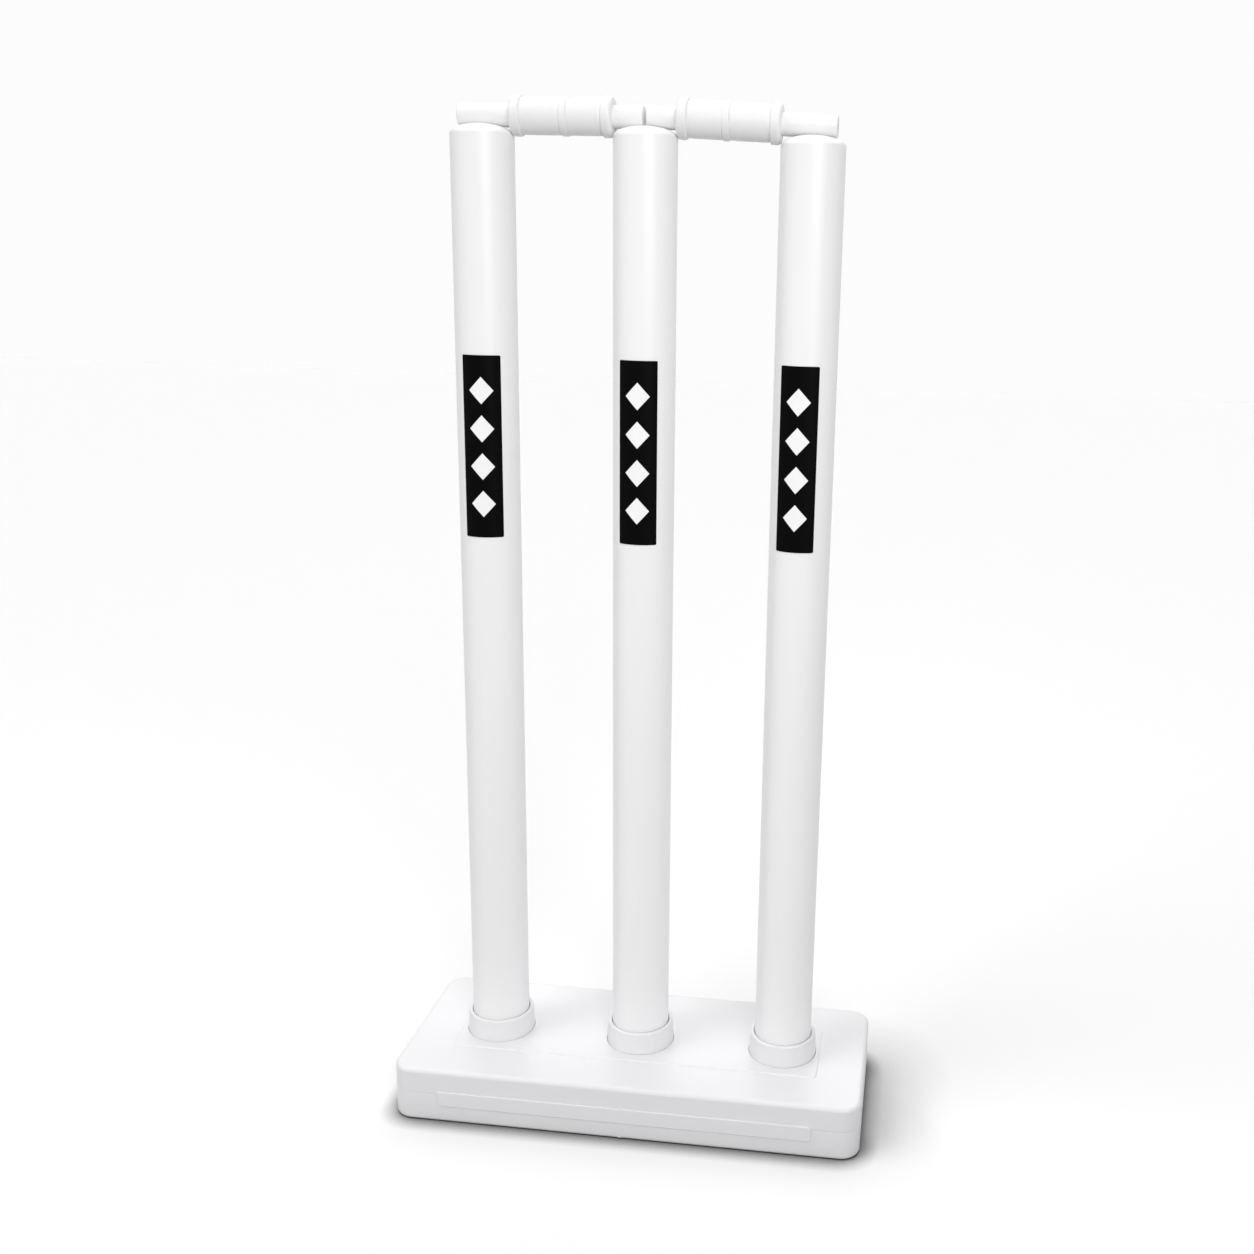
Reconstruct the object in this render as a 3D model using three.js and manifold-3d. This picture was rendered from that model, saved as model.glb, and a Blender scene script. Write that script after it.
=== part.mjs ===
// Free-standing cricket stumps: three hollow stumps in a hollow two-part base, with two bails on top. Each stump
// stands in a socket that the two shells of the base hold between them.
// Millimetres. X runs along the row of stumps, Y from front to back, Z up. The origin lies on the ground under
// the middle of the base, which is also the middle of the row.

import * as THREE from 'three';
import { mergeVertices } from 'three/addons/utils/BufferGeometryUtils.js';
import Module from 'manifold-3d';

// Row of stumps
const stumpSpacing = 95.25;
const stumpDiameter = 36.8;
const stumpWall = 2;
const stumpTop = 611.7;
const crownHeight = 6.1;
const crownPlastic = 3.5;
const grooveDepth = 2.4;
const rightStumpDrop = 3.4;

// Stickers on the stumps
const labelBottom = 374.7;
const labelHeight = 107.7;
const labelWidth = 23.4;
const labelThickness = 0.25;
const labelGap = 0.15;
const labelTurns = { left: 5.5, middle: -0.8, right: -6.2 };

// Bails
const spigotRadius = 6.4;
const barrelRadius = 10.4;
const beadRadius = 11.3;
const beadWidth = 6.8;
const ringRadius = 10.85;
const ringWidth = 4.2;
const barrelGrooveWidth = 0.8;
const barrelGrooveDepth = 0.35;
const spigotEdge = 1;
const spigotReach = 13.15;
const bailGap = 1.6;
const beadOverlap = 0.4;
const beadClearance = 0.4;
const bailClearance = 0.3;

// Base
const baseLength = 300.5;
const baseDepth = 120.5;
const baseHeight = 36;
const baseCorner = 12.5;
const topEdge = 6;
const bottomEdge = 5;
const shellWall = 2.5;
const seamHeight = 19.6;
const seamGap = 0.3;

// Raised panel on the top of the base and raised bands on its long sides
const panelLength = 240;
const panelDepth = 58;
const panelRise = 0.8;
const panelCorner = 3;
const panelEdge = 0.5;
const bandLength = 240;
const bandBottom = 11.2;
const bandTop = 21.9;
const bandRise = 0.9;
const bandCorner = 2;
const bandEdge = 0.5;
const lapDepth = 1;

// Sockets
const collarTop = 51.2;
const collarFootRadius = 22;
const collarWall = 2.7;
const collarClearance = 0.3;
const socketClearance = 0.3;
const socketTubeWall = 2;
const socketFloor = 1.5;
const socketFlangeWidth = 3.8;
const socketFlangeThickness = 2;
const seatGap = 0.3;
const footClearance = 3.7;
const ringRise = 1.9;
const ringWall = 2;

// Finger grips in the ends of the base
const gripLength = 78;
const gripHeight = 20;
const gripDepth = 13;
const gripRim = 3;
const gripFloorRound = 5;

// Screws and their bosses
const screwInsetX = 16.25;
const screwInsetY = 13.25;
const screwShankRadius = 1.75;
const screwHeadRadius = 3.5;
const screwHeadHeight = 2.2;
const screwLength = 20;
const screwHeadDepth = 3.5;
const screwPoint = 1.5;
const driveSlotWidth = 0.9;
const driveSlotLength = 3.8;
const driveSlotDepth = 1.2;
const bossWall = 2.2;
const headClearance = 0.6;
const shankClearance = 0.15;
const seatClearance = 0.3;
const pilotSpare = 1;

// How far a cutting shape runs past the surface that it cuts
const overrun = 1;

// Corner points closer together than this are one point
const weldDistance = 0.0001;

// Smoothness of round surfaces
const roundSides = 32;
const bailSides = 24;
const smallRoundSides = 12;
const crownSteps = 6;
const edgeSteps = 3;
const cornerSteps = 4;
const labelSteps = 8;

// Lengths that follow from the sizes above
const stumpRadius = stumpDiameter / 2;
const shoulderHeight = stumpTop - crownHeight;
const floorTop = shellWall;
const roofUnderside = baseHeight - shellWall;
const panelTop = baseHeight + panelRise;
const socketBottom = floorTop + seatGap;
const seatTop = socketBottom + socketFloor;
const deepStumpBottom = seatTop + footClearance;
const boreRadius = stumpRadius + socketClearance;
const socketTubeRadius = boreRadius + socketTubeWall;
const socketFlangeTop = roofUnderside - seatGap;
const gripMiddle = baseHeight / 2;
const shankHoleRadius = screwShankRadius + shankClearance;
const headHoleRadius = screwHeadRadius + headClearance;
const headHoleDepth = screwHeadDepth + screwHeadHeight + seatClearance;
const screwTop = screwHeadDepth + screwHeadHeight + screwLength;
const lowBossRadius = headHoleRadius + bossWall;
const highBossRadius = shankHoleRadius + bossWall;
const bailAxisHeight = stumpTop - grooveDepth + bailClearance + spigotRadius;
const barrelStart = stumpRadius - beadOverlap;
const barrelEnd = stumpSpacing - stumpRadius + beadOverlap;
const bailStart = bailGap / 2;
const bailEnd = stumpSpacing + spigotReach;

const white = { color: 0xf1f2f3, roughness: 0.3, metalness: 0 };
const stumpWhite = { color: 0xf0f1f2, roughness: 0.25, metalness: 0 };
const bailWhite = { color: 0xf5f5f4, roughness: 0.4, metalness: 0 };
const stickerBlack = { color: 0x0b0b0b, roughness: 0.3, metalness: 0 };
const zincSteel = { color: 0xb9bcc0, roughness: 0.35, metalness: 1 };

const wasm = await Module();
wasm.setup();

// A three.js geometry as a solid that can be joined and cut
function solid(geometry) {
  const bare = geometry.clone();
  bare.deleteAttribute('normal');
  bare.deleteAttribute('uv');
  const merged = mergeVertices(bare, weldDistance);
  return new wasm.Manifold(new wasm.Mesh({
    numProp: 3,
    vertProperties: new Float32Array(merged.attributes.position.array),
    triVerts: new Uint32Array(merged.index.array),
  }));
}

// A finished solid as a three.js geometry
function geometryOf(manifold) {
  const mesh = manifold.getMesh();
  const geometry = new THREE.BufferGeometry();
  geometry.setAttribute('position', new THREE.BufferAttribute(new Float32Array(mesh.vertProperties), 3));
  geometry.setIndex(new THREE.BufferAttribute(new Uint32Array(mesh.triVerts), 1));
  geometry.computeVertexNormals();
  return geometry;
}

// A named piece with a material of its own
function piece(name, manifold, look) {
  const mesh = new THREE.Mesh(geometryOf(manifold), new THREE.MeshStandardMaterial(look));
  mesh.name = name;
  return mesh;
}

// Corner points of a rectangle with round corners, seen from +Z, drawn in by `inset` on every side
function roundedOutline(length, depth, corner, inset) {
  const radius = Math.max(corner - inset, 0);
  const halfX = length / 2 - inset - radius;
  const halfY = depth / 2 - inset - radius;
  const middles = [[halfX, halfY], [-halfX, halfY], [-halfX, -halfY], [halfX, -halfY]];
  const points = [];
  middles.forEach(([x, y], quarter) => {
    for (let step = 0; step <= cornerSteps; step += 1) {
      const angle = (quarter + step / cornerSteps) * Math.PI / 2;
      points.push([x + radius * Math.cos(angle), y + radius * Math.sin(angle)]);
    }
  });
  return points;
}

// A closed body through a stack of outlines, each { points, height }, from the lowest to the highest
function stack(outlines) {
  const count = outlines[0].points.length;
  const positions = [];
  const index = [];
  outlines.forEach(({ points, height }) => points.forEach(([x, y]) => positions.push(x, y, height)));
  for (let layer = 0; layer + 1 < outlines.length; layer += 1) {
    for (let i = 0; i < count; i += 1) {
      const next = (i + 1) % count;
      const low = layer * count;
      const high = low + count;
      index.push(low + i, low + next, high + next);
      index.push(low + i, high + next, high + i);
    }
  }
  const last = (outlines.length - 1) * count;
  for (let i = 1; i + 1 < count; i += 1) {
    index.push(0, i + 1, i);
    index.push(last, last + i, last + i + 1);
  }
  const geometry = new THREE.BufferGeometry();
  geometry.setAttribute('position', new THREE.Float32BufferAttribute(positions, 3));
  geometry.setIndex(index);
  return geometry;
}

// A slab with round corners from `low` to `high`, its lower and upper edges rounded where a radius is given
function slab({ length, depth, corner, low, high, lowEdge = 0, highEdge = 0 }) {
  const outlines = [];
  const add = (inset, height) => {
    outlines.push({ points: roundedOutline(length, depth, corner, inset), height });
  };
  if (lowEdge > 0) {
    for (let step = 0; step < edgeSteps; step += 1) {
      const angle = (step / edgeSteps) * Math.PI / 2;
      add(lowEdge * (1 - Math.sin(angle)), low + lowEdge * (1 - Math.cos(angle)));
    }
  }
  add(0, low + lowEdge);
  add(0, high - highEdge);
  if (highEdge > 0) {
    for (let step = 1; step <= edgeSteps; step += 1) {
      const angle = (step / edgeSteps) * Math.PI / 2;
      add(highEdge * (1 - Math.cos(angle)), high - highEdge + highEdge * Math.sin(angle));
    }
  }
  return solid(stack(outlines));
}

// A body turned from a profile of [radius, height] points that starts and ends on the axis Z
function turned(profile, sides) {
  const points = profile.map(([radius, height]) => new THREE.Vector2(radius, height));
  const geometry = new THREE.LatheGeometry(points, sides);
  geometry.rotateX(Math.PI / 2);
  return solid(geometry);
}

// Points of a quarter round from `from` to `to` (radians) about a middle, as [radius, height]
function arc(middleRadius, middleHeight, radius, from, to, steps) {
  return Array.from({ length: steps + 1 }, (unused, step) => {
    const angle = from + (to - from) * step / steps;
    return [middleRadius + radius * Math.cos(angle), middleHeight + radius * Math.sin(angle)];
  });
}

// An upright round bar or hole
function upright(radius, low, high, sides, x = 0, y = 0) {
  return turned([[0, low], [radius, low], [radius, high], [0, high]], sides).translate([x, y, 0]);
}

// Height of a stump's domed crown at a distance from its axis
function crownAt(radius) {
  return shoulderHeight + crownHeight * Math.sqrt(Math.max(1 - (radius / stumpRadius) ** 2, 0));
}

// Places of the pieces that come in rows
const stumpPlaces = {
  left: { x: -stumpSpacing, lift: rightStumpDrop },
  middle: { x: 0, lift: rightStumpDrop },
  right: { x: stumpSpacing, lift: 0 },
};
const stumpRow = Object.values(stumpPlaces).map(({ x }) => x);
const screwRow = [-(baseLength / 2 - screwInsetX), 0, baseLength / 2 - screwInsetX];
const screwPlaces = [-1, 1].flatMap((side) => screwRow.map((x) => [x, side * (baseDepth / 2 - screwInsetY)]));
const joined = (solids) => solids.reduce((whole, next) => whole.add(next));

// The hollow of a finger grip, pointing in from the +X end, grown outwards by `grow` for its wall
function gripHollow(grow, mouth) {
  const depth = gripDepth + grow;
  const round = gripFloorRound + grow;
  const length = gripLength + 2 * grow;
  const height = gripHeight + 2 * grow;
  const outlines = [];
  const add = (inset, inward) => {
    const spread = Math.min(inset, 0);
    const points = roundedOutline(height - 2 * spread, length - 2 * spread, height / 2 - spread, inset - spread);
    outlines.push({ points, height: -inward });
  };
  for (let step = edgeSteps; step >= 0; step -= 1) {
    const angle = (step / edgeSteps) * Math.PI / 2;
    add(round * (1 - Math.cos(angle)), depth - round + round * Math.sin(angle));
  }
  if (mouth) {
    for (let step = edgeSteps; step >= 0; step -= 1) {
      const angle = (step / edgeSteps) * Math.PI / 2;
      add(-gripRim * (1 - Math.sin(angle)), gripRim * (1 - Math.cos(angle)));
    }
    add(-gripRim, -overrun);
  } else {
    add(0, shellWall / 2);
  }
  const geometry = stack(outlines);
  geometry.rotateY(Math.PI / 2);
  return solid(geometry).translate([baseLength / 2, 0, gripMiddle]);
}

// A shape together with its copy half a turn round the base
function pair(shape) {
  return shape.add(shape.rotate([0, 0, 180]));
}

// Everything of a shape that lies above or below a height
function slice(shape, low, high) {
  const reach = baseLength + baseDepth;
  const box = new THREE.BoxGeometry(reach, reach, high - low);
  box.translate(0, 0, (low + high) / 2);
  return shape.intersect(solid(box));
}

// A raised band along one long side, with its lap over the cover; `grow` widens the notch that takes the lap
function sideBand(grow) {
  const height = bandTop - bandBottom + 2 * grow;
  const back = baseDepth / 2 - lapDepth - grow;
  const front = baseDepth / 2 + bandRise + grow;
  const band = slab({
    length: bandLength + 2 * grow,
    depth: height,
    corner: bandCorner + grow,
    low: back,
    high: front,
    highEdge: bandEdge,
  });
  const middle = (bandTop + bandBottom) / 2;
  return band.rotate([90, 0, 0]).translate([0, 0, middle]);
}

// Upper half of the base: its cover and panel with the holes for the sockets, and its screw pillars
function baseCover() {
  const low = seamHeight + seamGap / 2;
  const outside = { length: baseLength, depth: baseDepth, corner: baseCorner };
  const inside = {
    length: baseLength - 2 * shellWall,
    depth: baseDepth - 2 * shellWall,
    corner: baseCorner - shellWall,
  };
  const skin = slab({ ...outside, low, high: baseHeight, highEdge: topEdge });
  const cavity = slab({ ...inside, low: low - overrun, high: roofUnderside, highEdge: topEdge - shellWall });
  const panel = slab({
    length: panelLength,
    depth: panelDepth,
    corner: panelCorner,
    low: roofUnderside,
    high: panelTop,
    highEdge: panelEdge,
  });
  const collarHoles = stumpRow.map((x) => (
    upright(collarFootRadius + collarClearance, low, panelTop + overrun, roundSides, x)
  ));
  const pillars = screwPlaces.map(([x, y]) => (
    upright(highBossRadius, low, roofUnderside + shellWall / 2, smallRoundSides, x, y)
  ));
  const pilots = screwPlaces.map(([x, y]) => (
    upright(shankHoleRadius, low - overrun, screwTop + pilotSpare, smallRoundSides, x, y)
  ));
  const gripWall = slice(pair(gripHollow(shellWall, false)), low, baseHeight);
  return skin
    .subtract(cavity)
    .add(gripWall)
    .add(panel)
    .add(joined(pillars))
    .subtract(joined(collarHoles))
    .subtract(joined(pilots))
    .subtract(pair(gripHollow(0, true)))
    .subtract(pair(sideBand(seamGap)));
}

// Lower half of the base: its floor and walls, the rings round the sockets, the screw pillars and the side bands
function baseTray() {
  const high = seamHeight - seamGap / 2;
  const skin = slab({
    length: baseLength,
    depth: baseDepth,
    corner: baseCorner,
    low: 0,
    high,
    lowEdge: bottomEdge,
  });
  const cavity = slab({
    length: baseLength - 2 * shellWall,
    depth: baseDepth - 2 * shellWall,
    corner: baseCorner - shellWall,
    low: floorTop,
    high: high + overrun,
    lowEdge: bottomEdge - shellWall,
  });
  const ringInside = socketTubeRadius + socketClearance;
  const ring = upright(ringInside + ringWall, floorTop / 2, floorTop + ringRise, roundSides)
    .subtract(upright(ringInside, floorTop, floorTop + ringRise + overrun, roundSides));
  const pillars = screwPlaces.map(([x, y]) => (
    upright(lowBossRadius, floorTop / 2, high, smallRoundSides, x, y)
  ));
  const holes = screwPlaces.map(([x, y]) => (
    upright(shankHoleRadius, -overrun, high + overrun, smallRoundSides, x, y)
      .add(upright(headHoleRadius, -overrun, headHoleDepth, smallRoundSides, x, y))
  ));
  const gripWall = slice(pair(gripHollow(shellWall, false)), 0, high);
  return skin
    .subtract(cavity)
    .add(gripWall)
    .add(joined(pillars))
    .add(joined(stumpRow.map((x) => ring.translate([x, 0, 0]))))
    .add(pair(sideBand(0)))
    .subtract(joined(holes))
    .subtract(pair(gripHollow(0, true)));
}

// A cup that takes a stump: its collar stands out of the cover, and its flange is held under the cover. The stump
// is a push fit in it and stops short of its floor.
function socket() {
  const lip = collarWall / 2;
  const flangeRadius = socketTubeRadius + socketFlangeWidth;
  const flangeBottom = socketFlangeTop - socketFlangeThickness;
  return turned([
    [0, socketBottom],
    [socketTubeRadius, socketBottom],
    [socketTubeRadius, flangeBottom],
    [flangeRadius, flangeBottom],
    [flangeRadius, socketFlangeTop],
    [collarFootRadius, socketFlangeTop],
    [collarFootRadius, panelTop],
    ...arc(boreRadius + lip, collarTop - lip, lip, 0, Math.PI, 2 * edgeSteps),
    [boreRadius, seatTop],
    [0, seatTop],
  ], roundSides);
}

// A hollow stump, open below, with a domed crown that a shallow groove crosses for the bails
function stump(bottom) {
  const inside = stumpRadius - stumpWall;
  const ceiling = shoulderHeight - crownPlastic;
  const crown = Array.from({ length: crownSteps }, (unused, step) => {
    const angle = ((step + 1) / (crownSteps + 1)) * Math.PI / 2;
    return [stumpRadius * Math.cos(angle), shoulderHeight + crownHeight * Math.sin(angle)];
  });
  const body = turned([
    [0, ceiling],
    [inside - stumpWall, ceiling],
    [inside, ceiling - stumpWall],
    [inside, bottom],
    [stumpRadius, bottom],
    [stumpRadius, shoulderHeight],
    ...crown,
    [0, stumpTop],
  ], roundSides);
  const groove = upright(spigotRadius + bailClearance, -stumpDiameter, stumpDiameter, roundSides)
    .rotate([0, 90, 0])
    .translate([0, 0, bailAxisHeight]);
  return body.subtract(groove);
}

// A sticker bent round the front of a stump
function label() {
  const inner = stumpRadius + labelGap;
  const outer = inner + labelThickness;
  const half = labelWidth / stumpRadius / 2;
  const front = -Math.PI / 2;
  const shape = new THREE.Shape();
  shape.absarc(0, 0, outer, front - half, front + half, false);
  shape.absarc(0, 0, inner, front + half, front - half, true);
  shape.closePath();
  const geometry = new THREE.ExtrudeGeometry(shape, {
    depth: labelHeight,
    bevelEnabled: false,
    curveSegments: labelSteps,
  });
  geometry.translate(0, 0, labelBottom);
  return solid(geometry);
}

// A bail turned about its own axis, lying along +X with its short spigot at the start
function bail() {
  const faceRadius = bailAxisHeight - crownAt(barrelStart) - beadClearance;
  const corner = beadRadius - faceRadius;
  const middle = (barrelStart + barrelEnd) / 2;
  const grooveRadius = barrelRadius - barrelGrooveDepth;
  const half = [
    [faceRadius, barrelStart],
    ...arc(faceRadius, barrelStart + corner, corner, -Math.PI / 2, 0, edgeSteps).slice(1),
    [beadRadius, barrelStart + beadWidth - barrelGrooveDepth],
    [grooveRadius, barrelStart + beadWidth],
    [grooveRadius, barrelStart + beadWidth + barrelGrooveWidth / 2],
    [barrelRadius, barrelStart + beadWidth + barrelGrooveWidth],
    [barrelRadius, middle - ringWidth / 2 - barrelGrooveWidth],
    [grooveRadius, middle - ringWidth / 2 - barrelGrooveWidth / 2],
    [grooveRadius, middle - ringWidth / 2],
    [ringRadius, middle - ringWidth / 2 + barrelGrooveDepth],
  ];
  const otherHalf = half.map(([radius, along]) => [radius, 2 * middle - along]).reverse();
  const profile = [
    [0, bailStart],
    [spigotRadius - spigotEdge, bailStart],
    [spigotRadius, bailStart + spigotEdge],
    [spigotRadius, barrelStart],
    ...half,
    ...otherHalf,
    [spigotRadius, barrelEnd],
    [spigotRadius, bailEnd - spigotEdge],
    [spigotRadius - spigotEdge, bailEnd],
    [0, bailEnd],
  ];
  return turned(profile, bailSides).rotate([0, 90, 0]);
}

// A pan-head screw driven upwards from under the base
function screw() {
  const headTop = screwHeadDepth + screwHeadHeight;
  const body = turned([
    [0, screwHeadDepth],
    [screwHeadRadius - screwHeadHeight / 2, screwHeadDepth],
    [screwHeadRadius, screwHeadDepth + screwHeadHeight / 2],
    [screwHeadRadius, headTop],
    [screwShankRadius, headTop],
    [screwShankRadius, screwTop - screwPoint],
    [0, screwTop],
  ], smallRoundSides);
  const slot = new THREE.BoxGeometry(driveSlotLength, driveSlotWidth, 2 * driveSlotDepth);
  slot.translate(0, 0, screwHeadDepth);
  const one = solid(slot);
  return body.subtract(one.add(one.rotate([0, 0, 90])));
}

const model = new THREE.Group();

model.add(piece('base_cover', baseCover(), white));
model.add(piece('base_tray', baseTray(), white));

Object.entries(stumpPlaces).forEach(([name, { x }]) => {
  const mesh = piece(`${name}_socket`, socket(), white);
  mesh.position.set(x, 0, 0);
  model.add(mesh);
});

screwPlaces.forEach(([x, y], number) => {
  const mesh = piece(`base_screw_${number + 1}`, screw(), zincSteel);
  mesh.position.set(x, y, 0);
  model.add(mesh);
});

// Each stump is made as the left one stands; the right one is the same stump pushed further down
Object.entries(stumpPlaces).forEach(([name, { x, lift }]) => {
  const sunk = lift - rightStumpDrop;
  const mesh = piece(`${name}_stump`, stump(deepStumpBottom + rightStumpDrop), stumpWhite);
  mesh.position.set(x, 0, sunk);
  model.add(mesh);
  const sticker = piece(`${name}_stump_label`, label(), stickerBlack);
  sticker.position.set(x, 0, 0);
  sticker.rotation.z = THREE.MathUtils.degToRad(labelTurns[name]);
  model.add(sticker);
});

// The left bail lies level; the right one slopes down from the middle crown to the lower right crown, and lies
// a little further out, because its bead leans in towards the middle stump
const seatShare = (crownHeight - grooveDepth) / crownHeight;
const seatRun = stumpRadius * Math.sqrt(1 - seatShare ** 2);
const bailSlope = Math.atan2(rightStumpDrop, bailEnd - seatRun);

const leftBail = piece('left_bail', bail(), bailWhite);
leftBail.position.set(0, 0, bailAxisHeight);
leftBail.rotation.z = Math.PI;
model.add(leftBail);

const rightBail = piece('right_bail', bail(), bailWhite);
rightBail.position.set(
  beadRadius * Math.sin(bailSlope),
  0,
  bailAxisHeight + seatRun * Math.tan(bailSlope),
);
rightBail.rotation.y = bailSlope;
model.add(rightBail);

export default model;
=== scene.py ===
import math
from functools import partial

import bmesh
import bpy
import numpy as np
from mathutils import Matrix, Vector


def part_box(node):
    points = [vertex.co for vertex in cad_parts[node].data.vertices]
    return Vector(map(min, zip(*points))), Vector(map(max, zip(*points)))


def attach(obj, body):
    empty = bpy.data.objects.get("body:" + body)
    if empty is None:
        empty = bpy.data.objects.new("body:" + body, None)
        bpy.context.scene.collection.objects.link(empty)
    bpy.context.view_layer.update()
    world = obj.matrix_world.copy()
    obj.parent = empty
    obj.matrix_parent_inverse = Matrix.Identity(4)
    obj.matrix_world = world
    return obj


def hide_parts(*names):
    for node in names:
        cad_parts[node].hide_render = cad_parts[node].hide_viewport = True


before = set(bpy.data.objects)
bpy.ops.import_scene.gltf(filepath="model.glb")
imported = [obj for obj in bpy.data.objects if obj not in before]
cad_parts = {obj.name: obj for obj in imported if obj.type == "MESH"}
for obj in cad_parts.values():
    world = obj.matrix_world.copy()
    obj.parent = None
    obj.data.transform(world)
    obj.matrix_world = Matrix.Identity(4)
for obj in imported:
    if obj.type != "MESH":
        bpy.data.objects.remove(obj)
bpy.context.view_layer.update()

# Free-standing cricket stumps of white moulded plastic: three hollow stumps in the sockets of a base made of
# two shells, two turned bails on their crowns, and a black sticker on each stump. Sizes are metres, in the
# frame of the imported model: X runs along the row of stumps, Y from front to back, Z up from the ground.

# Row of stumps
STUMP_RADIUS = 0.0184
STUMP_WALL = 0.002
STUMP_TOP = 0.6117
CROWN_HEIGHT = 0.0061
CROWN_PLASTIC = 0.0035
FOOT_EDGE = 0.0004
TROUGH_RADIUS = 0.0067
TROUGH_DEPTH = 0.0024
TROUGH_BLEND = 0.00035

# Stickers
LABEL_LOW = 0.3747
LABEL_HEIGHT = 0.1077
LABEL_WIDTH = 0.0234
LABEL_THICKNESS = 0.00025
LABEL_GAP = 0.00015
LABEL_CORNER = 0.0006

# Degrees by which each sticker is turned to the right, seen from the front
LABEL_TURNS = {"left": 5.5, "middle": -0.8, "right": -6.2}

# The row of lozenges on a sticker: how many, the free share of the sticker's height at each end, a lozenge's
# half height as a share of its cell, its half width as a share of the sticker's width, and the share of its
# reach that is solid white
LOZENGES = 4
LOZENGE_MARGIN = 0.085
LOZENGE_HALF_HEIGHT = 0.36
LOZENGE_HALF_WIDTH = 0.31
LOZENGE_SOLID = 0.97

# Bails
SPIGOT_RADIUS = 0.0064
SPIGOT_EDGE = 0.001
BARREL_RADIUS = 0.0103
BEAD_RADIUS = 0.0113
BEAD_FACE_RADIUS = 0.00873
BEAD_FLANK = 0.0012
FLANK_TURN = 80
BEAD_WIDTH = 0.0062
NECK_RADIUS = 0.01018
NECK_WIDTH = 0.0022
RING_RADIUS = 0.01075
RING_EDGE = 0.0006
RING_WIDTH = 0.0039
RING_NECK_WIDTH = 0.0029
GROOVE_WIDTH = 0.0007
GROOVE_DEPTH = 0.0003
LINE_WIDTH = 0.0005
LINE_DEPTH = 0.00016
BAIL_START = 0.0008
BARREL_START = 0.018
BARREL_END = 0.07725
BAIL_END = 0.1084
BAIL_CLEARANCE = 0.0003
BAIL_AXIS = STUMP_TOP - TROUGH_DEPTH + BAIL_CLEARANCE + SPIGOT_RADIUS

# Base
BASE_CORNER = 0.0125
BASE_TOP = 0.036
TOP_EDGE = 0.003
BOTTOM_EDGE = 0.0024
INSIDE_EDGE = 0.0025
SHELL_WALL = 0.0025
SEAM = 0.0196
SEAM_GAP = 0.0001
SEAM_EDGE = 0.0004
PANEL_SIZE = (0.24, 0.058)
PANEL_RISE = 0.0008
PANEL_CORNER = 0.003
PANEL_EDGE = 0.0007
BAND_LENGTH = 0.24
BAND_LOW = 0.0112
BAND_HIGH = 0.0219
BAND_RISE = 0.00089
BAND_CORNER = 0.002
BAND_EDGE = 0.0008
LAP_DEPTH = 0.001
NUB_SIZE = (0.0028, 0.0009, 0.0011)
LOW_NUB_X = -0.001
LOW_NUB_Z = 0.0015
LOW_NUB_SINK = 0.0002

# Sockets
COLLAR_TOP = 0.0512
COLLAR_FOOT_RADIUS = 0.022
COLLAR_CLEARANCE = 0.0003
BORE_RADIUS = 0.0187
COLLAR_WALL = 0.0027
TUBE_RADIUS = 0.0207
FLANGE_RADIUS = 0.0245
FLANGE_LOW = 0.0312
FLANGE_HIGH = 0.0332
SOCKET_LOW = 0.0028
SOCKET_EDGE = 0.0004
SEAT = 0.0043
RING_RISE = 0.0019
RING_WALL = 0.002

# Finger grips
GRIP_LENGTH = 0.078
GRIP_HEIGHT = 0.02
GRIP_DEPTH = 0.013
GRIP_RIM = 0.003
GRIP_FLOOR_ROUND = 0.005

# Screws
SCREW_INSET = (0.01625, 0.01325)
SHANK_RADIUS = 0.00175
HEAD_RADIUS = 0.0035
HEAD_LOW = 0.0035
HEAD_HEIGHT = 0.0022
HEAD_ROUND_SHARE = 0.6
SLOT_SIZE = (0.0038, 0.0009)
SLOT_CORNER = 0.0002
SLOT_STRAIGHT = 0.0006
SLOT_DEPTH = 0.0012
SLOT_TAPER = 0.0002
SCREW_TOP = 0.0257
SCREW_POINT = 0.0015
SCREW_TIP_RADIUS = 0.0002
THREAD_START = 0.0004
THREAD_PITCH = 0.0008
THREAD_DEPTH = 0.00012
WELL_RADIUS = 0.0041
WELL_TOP = 0.006
PILLAR_RADIUS = 0.0063
PILOT_RADIUS = 0.0019

# How far a cutting shape runs past the surface that it cuts, and the width of a block wider than the base
OVERRUN = 0.001
SLICE_WIDTH = 1.0

# Smoothness
ROUND_SIDES = 160
BAIL_SIDES = 128
SMALL_SIDES = 48
CORNER_STEPS = 16
CROWN_STEPS = 60
EDGE_STEPS = 10
GROOVE_STEPS = 10
RING_STEPS = 5
SMALL_EDGE_STEPS = 4
STICKER_ROWS = 60
STICKER_COLUMNS = 48
THREAD_LEVELS = 160
SHARP_ANGLE = math.radians(32)
WELD = 1e-6

# Colours
BASE_COLOUR = (0.808, 0.803, 0.82)
STUMP_COLOUR = (0.902, 0.9, 0.908)
BAIL_COLOUR = (0.84, 0.84, 0.845)
VINYL_COLOUR = (0.002, 0.002, 0.002)
LOZENGE_COLOUR = (0.93, 0.93, 0.93)
ZINC_LIGHT = (0.56, 0.57, 0.58)
ZINC_DARK = (0.42, 0.43, 0.45)

# Finishes. A relief is the strength and the depth of a bump.
BASE_ROUGHNESS = 0.32
STUMP_ROUGHNESS = 0.32
BAIL_ROUGHNESS = 0.38
GLOSS_SWING = 0.1
CLOUD_DARKNESS = 0.02
PLASTIC_IOR = 1.5
GRAIN_STRENGTH = 0.25
BASE_GRAIN = 0.00002
STUMP_GRAIN = 0.00001
BAIL_GRAIN = 0.00002
VINYL_ROUGHNESS = (0.29, 0.36)
VINYL_SHEEN = 0.03
VINYL_RELIEF = (0.12, 0.0004)
ZINC_ROUGHNESS = (0.29, 0.42)
ZINC_RELIEF = (0.2, 0.00005)

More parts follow.
